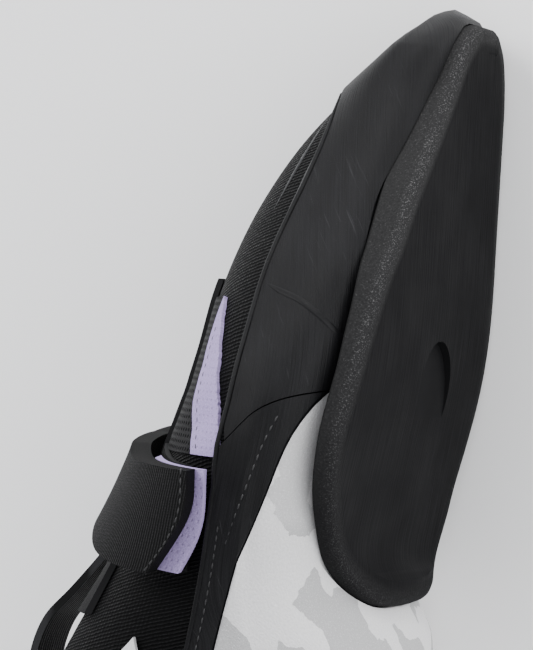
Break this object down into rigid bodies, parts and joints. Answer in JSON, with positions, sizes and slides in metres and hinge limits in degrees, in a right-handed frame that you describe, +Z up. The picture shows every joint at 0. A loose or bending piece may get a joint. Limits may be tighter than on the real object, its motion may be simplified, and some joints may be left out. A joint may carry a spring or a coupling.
{
  "type": "climbing shoe",
  "caption": "Right climbing shoe with rubber half sole, toe rand, side band, knitted upper, instep strap with lilac tab and two-tone arch panel, lying on its inner side.",
  "frame": {"origin": "bottom centre of the bounding box, on the surface that the shoe lies on", "axes": "+Y to the toe tip, +Z up to the outer side of the shoe, +X out of the sole"},
  "size_m": [0.089, 0.2458, 0.0934],
  "materials": {
    "black_knit": "knitted with glossy ribs",
    "lining": "matt felt",
    "sole_rubber": "ground and dusty",
    "rand_rubber": "satin",
    "grey_suede": "two-tone nap",
    "black_mesh": "open mesh",
    "lilac_microfibre": "soft matt",
    "strap_webbing": "fine ribs"
  },
  "bodies": {
    "root": {"upper": "black_knit", "insole": "lining", "outsole": "sole_rubber", "toe_rand": "rand_rubber", "side_band": "rand_rubber", "heel_cup": "rand_rubber", "arch_panel": "grey_suede", "quarter_panel": "grey_suede", "tongue": "black_mesh", "throat_binding": "lilac_microfibre", "strap": "strap_webbing", "strap_tab": "lilac_microfibre", "loop_patch": "black_mesh", "tongue_loop": "strap_webbing"}
  },
  "joints": []
}
